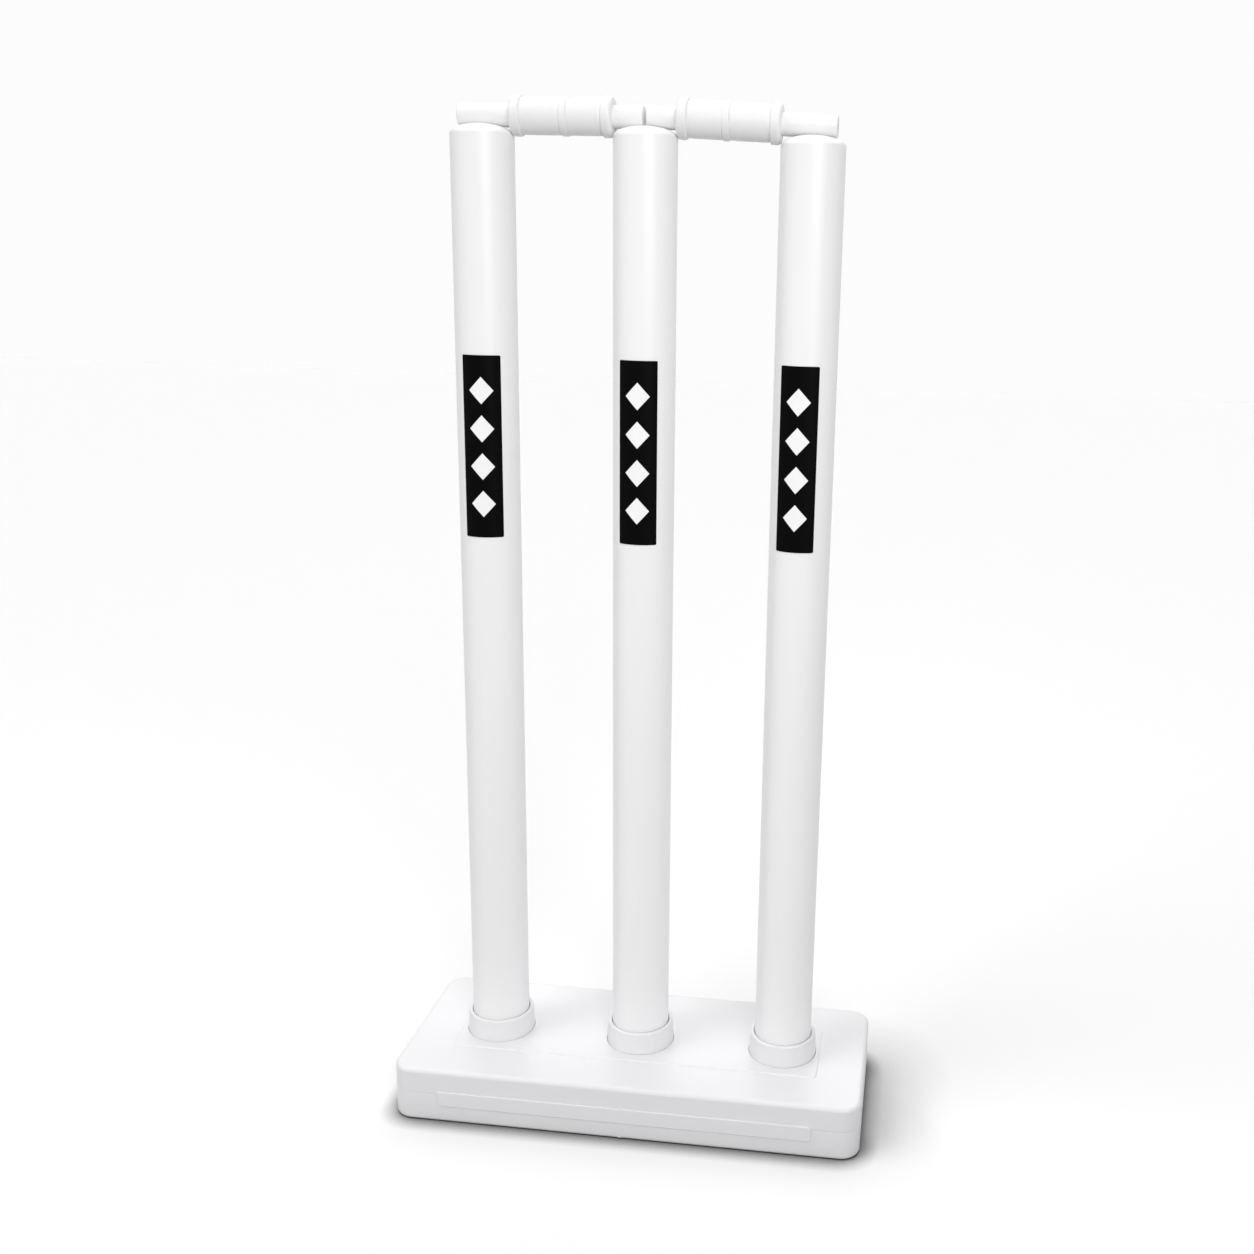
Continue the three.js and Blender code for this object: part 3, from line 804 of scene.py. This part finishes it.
def add_sticker_coordinates(piece, name):
    """Adds the sticker's own coordinates, as a UV map: the angle round the stump across, the height up."""
    mesh = piece.data
    corner = np.zeros(len(mesh.vertices) * 3)
    mesh.vertices.foreach_get("co", corner)
    x, y, z = corner.reshape(-1, 3).T
    turn = np.arctan2(y, x - STUMP_X[name]) + math.pi / 2 - math.radians(LABEL_TURNS[name])
    across = turn * STUMP_RADIUS / LABEL_WIDTH + 0.5
    up = (z - LABEL_LOW) / LABEL_HEIGHT
    point = np.zeros(len(mesh.loops), int)
    mesh.loops.foreach_get("vertex_index", point)
    places = np.stack([across[point], up[point]], axis=-1).astype(np.float32)
    mesh.uv_layers.new(name="sticker").data.foreach_set("uv", places.ravel())


base_white = white_plastic("base_white", BASE_COLOUR, BASE_ROUGHNESS, BASE_GRAIN)
stump_white = white_plastic("stump_white", STUMP_COLOUR, STUMP_ROUGHNESS, STUMP_GRAIN)
bail_white = white_plastic("bail_white", BAIL_COLOUR, BAIL_ROUGHNESS, BAIL_GRAIN)
vinyl = sticker_vinyl()
zinc = zinc_steel()

finish_piece(cover_shell(), base_white, "base", ["base_cover"])
finish_piece(tray_shell(), base_white, "base", ["base_tray"])
for stump_name in STUMP_NAMES:
    finish_piece(socket_cup(stump_name), base_white, "base", [f"{stump_name}_socket"])
    body = f"{stump_name}_stump"
    finish_piece(stump_tube(stump_name), stump_white, body, [body])
    label = sticker(stump_name)
    add_sticker_coordinates(label, stump_name)
    finish_piece(label, vinyl, body, [f"{body}_label"])
for bail_name, bail in bails().items():
    finish_piece(bail, bail_white, f"{bail_name}_bail", [f"{bail_name}_bail"])
for screw_number, (screw_x, screw_y) in enumerate(SCREW_PLACES, start=1):
    part = screw(screw_number, screw_x, screw_y)
    finish_piece(part, zinc, "base", [f"base_screw_{screw_number}"])


# Floor, light and camera

# The camera as fitted to the photograph, in its pixels and in metres, with a sensor in millimetres
PHOTO_SIZE = 1254
FOCAL_PIXELS = 1371.0
MIDDLE_X_PIXELS = 760.0
SENSOR = 36.0
AZIMUTH = math.radians(6.48)
ELEVATION = math.radians(14.47)
ROLL = math.radians(1.59)
DISTANCE = 0.837
TARGET = Vector((0.0727, 0, 0.3239))
CLIP_START = 0.01
CLIP_END = 50

# The floor and its painted shade, and the room
FLOOR_REACH = 6.0
FLOOR_CORNER = 1.0
FLOOR_DROP = 0.00005
OPENING_INSET = 0.0028
# Painted shade in the floor's colour: reach, power and ray direction, near the base and away from the key
# light
CONTACT_REACH = 0.013
CONTACT_SHADE = 1.7
CONTACT_LIGHT = (0, 0, 1)
SIDE_REACH = 0.06
SIDE_SHADE = 0.42
SIDE_LIGHT = (-0.85, -0.45, 0.27)
SHADE_RAYS = 6
FLOOR_COLOUR = 0.45
FLOOR_COLOUR_SEEN = 0.945
ROOM_LIGHT = 0.15
ROOM_SEEN = 0.975

# Far lights: azimuth, elevation and breadth in degrees, and strength. Azimuth 0 is the front, 90 the right.
FAR_LIGHTS = {
    "overhead_light": (180, 65, 70, 1.75),
    "key_light": (-62, 42, 44, 1.25),
    "front_light": (30, 17, 38, 1.15),
}

# The lamp above the camera
LAMP_PLACE = (0.26, -0.91, 0.92)
LAMP_TARGET = (0, 0, 0.47)
LAMP_SIZE = (0.45, 0.35)
LAMP_BEAM = math.radians(70)
LAMP_POWER = 0.57


def pale_floor():
    """A pale floor that catches shadows. Seen straight on or mirrored it is white where nothing shades it,
    and it throws less light back up than it shows. Painted shade darkens its colour close to the base, where
    the base would hide the room from it, and a painted shadow darkens it more where the base stands between
    it and the key light. From below it is clear, and it is open under the base, so that the underside can be
    seen. It lies a hair below the base, so that the two never share a plane."""
    mesh = bpy.data.meshes.new("floor")
    outside = rounded_outlines(2 * FLOOR_REACH, 2 * FLOOR_REACH, FLOOR_CORNER, [0])
    opening = rounded_outlines(BASE_LENGTH, BASE_DEPTH, BASE_CORNER, [OPENING_INSET])
    flat = np.concatenate([outside, opening])
    points = np.concatenate([flat, np.full(flat.shape[:2] + (1,), -FLOOR_DROP)], axis=-1)
    mesh.from_pydata(points.reshape(-1, 3).tolist(), [], grid_faces(2, flat.shape[1], True).tolist())
    floor = bpy.data.objects.new("floor", mesh)
    bpy.context.scene.collection.objects.link(floor)
    material = bpy.data.materials.new("floor_white")
    material.use_nodes = True
    tree = material.node_tree
    tree.nodes.clear()
    matt = tree.nodes.new("ShaderNodeBsdfDiffuse")
    colour = seen_or_mirrored(tree, FLOOR_COLOUR, FLOOR_COLOUR_SEEN)
    # Painted shade: the floor's colour darkens near the base, and more on the side away from the key light
    for shade in (
        openness(tree, CONTACT_REACH, CONTACT_SHADE, CONTACT_LIGHT),
        openness(tree, SIDE_REACH, SIDE_SHADE, SIDE_LIGHT),
    ):
        colour = calculate(tree, "MULTIPLY", colour, shade)
    tree.links.new(colour, matt.inputs["Color"])
    face = tree.nodes.new("ShaderNodeNewGeometry")
    clear = tree.nodes.new("ShaderNodeBsdfTransparent")
    surface = tree.nodes.new("ShaderNodeMixShader")
    tree.links.new(face.outputs["Backfacing"], surface.inputs["Fac"])
    tree.links.new(matt.outputs["BSDF"], surface.inputs[1])
    tree.links.new(clear.outputs["BSDF"], surface.inputs[2])
    out = tree.nodes.new("ShaderNodeOutputMaterial")
    tree.links.new(surface.outputs["Shader"], out.inputs["Surface"])
    mesh.materials.append(material)


def openness(tree, reach, strength, direction):
    """How open a place is towards a direction: the share of rays that meet nothing within reach, to a power.
    The floor multiplies its colour by it as painted shade."""
    towards = tree.nodes.new("ShaderNodeCombineXYZ")
    for socket, value in zip(towards.inputs, direction):
        socket.default_value = value
    rays = tree.nodes.new("ShaderNodeAmbientOcclusion")
    rays.samples = SHADE_RAYS
    rays.inputs["Distance"].default_value = reach
    tree.links.new(towards.outputs["Vector"], rays.inputs["Normal"])
    return calculate(tree, "POWER", rays.outputs["AO"], strength)


def seen_or_mirrored(tree, otherwise, seen):
    """One value for what the camera sees straight on, mirrored or through glass, and another for all
    else."""
    path = tree.nodes.new("ShaderNodeLightPath")
    total = path.outputs["Is Camera Ray"]
    for kind in ("Is Glossy Ray", "Is Transmission Ray"):
        total = calculate(tree, "MAXIMUM", total, path.outputs[kind])
    return mapped(tree, total, 0, 1, otherwise, seen)


def aimed(name, lamp, place, target):
    """Puts a lamp at a place, facing a target."""
    holder = bpy.data.objects.new(name, lamp)
    holder.location = place
    holder.rotation_mode = "QUATERNION"
    holder.rotation_quaternion = (Vector(target) - Vector(place)).to_track_quat("-Z", "Y")
    bpy.context.scene.collection.objects.link(holder)


def far_light(name, azimuth, elevation, breadth, strength):
    """A broad light far off, as even at one end of the floor as at the other."""
    lamp = bpy.data.lights.new(name, "SUN")
    lamp.energy = strength
    lamp.angle = math.radians(breadth)
    turn, rise = math.radians(azimuth), math.radians(elevation)
    place = (math.sin(turn) * math.cos(rise), -math.cos(turn) * math.cos(rise), math.sin(rise))
    aimed(name, lamp, place, (0, 0, 0))


def camera_lamp():
    """A rectangular lamp close to the object, above the camera, with a narrowed beam."""
    lamp = bpy.data.lights.new("camera_lamp", "AREA")
    lamp.shape = "RECTANGLE"
    lamp.size, lamp.size_y = LAMP_SIZE
    lamp.spread = LAMP_BEAM
    lamp.energy = LAMP_POWER
    aimed("camera_lamp", lamp, LAMP_PLACE, LAMP_TARGET)


def studio():
    """A white room with a broad light overhead and a little behind, a key light from the front left, a low
    one from the front right and a lamp above the camera."""
    world = bpy.data.worlds.new("room")
    bpy.context.scene.world = world
    world.use_nodes = True
    tree = world.node_tree
    background = tree.nodes["Background"]
    tree.links.new(seen_or_mirrored(tree, ROOM_LIGHT, ROOM_SEEN), background.inputs["Strength"])
    background.inputs["Color"].default_value = (1, 1, 1, 1)
    for name, values in FAR_LIGHTS.items():
        far_light(name, *values)
    camera_lamp()


def camera():
    """The camera that sees the object as the photograph does: it looks at a target from a distance, turned
    round the object, raised and rolled, and its frame is shifted sideways."""
    back = Vector((
        math.sin(AZIMUTH) * math.cos(ELEVATION),
        -math.cos(AZIMUTH) * math.cos(ELEVATION),
        math.sin(ELEVATION),
    ))
    right = back.cross(Vector((0, 0, 1))).normalized() * -1
    up = back.cross(right)
    tilted_right = right * math.cos(ROLL) + up * math.sin(ROLL)
    tilted_up = up * math.cos(ROLL) - right * math.sin(ROLL)
    data = bpy.data.cameras.new("camera")
    data.sensor_width = SENSOR
    data.lens = FOCAL_PIXELS / PHOTO_SIZE * SENSOR
    data.shift_x = (PHOTO_SIZE / 2 - MIDDLE_X_PIXELS) / PHOTO_SIZE
    data.clip_start, data.clip_end = CLIP_START, CLIP_END
    holder = bpy.data.objects.new("camera", data)
    turn = Matrix((tilted_right, tilted_up, back)).transposed().to_4x4()
    holder.matrix_world = Matrix.Translation(TARGET + back * DISTANCE) @ turn
    bpy.context.scene.collection.objects.link(holder)
    bpy.context.scene.camera = holder


pale_floor()
studio()
camera()
bpy.context.scene.view_settings.view_transform = "Standard"
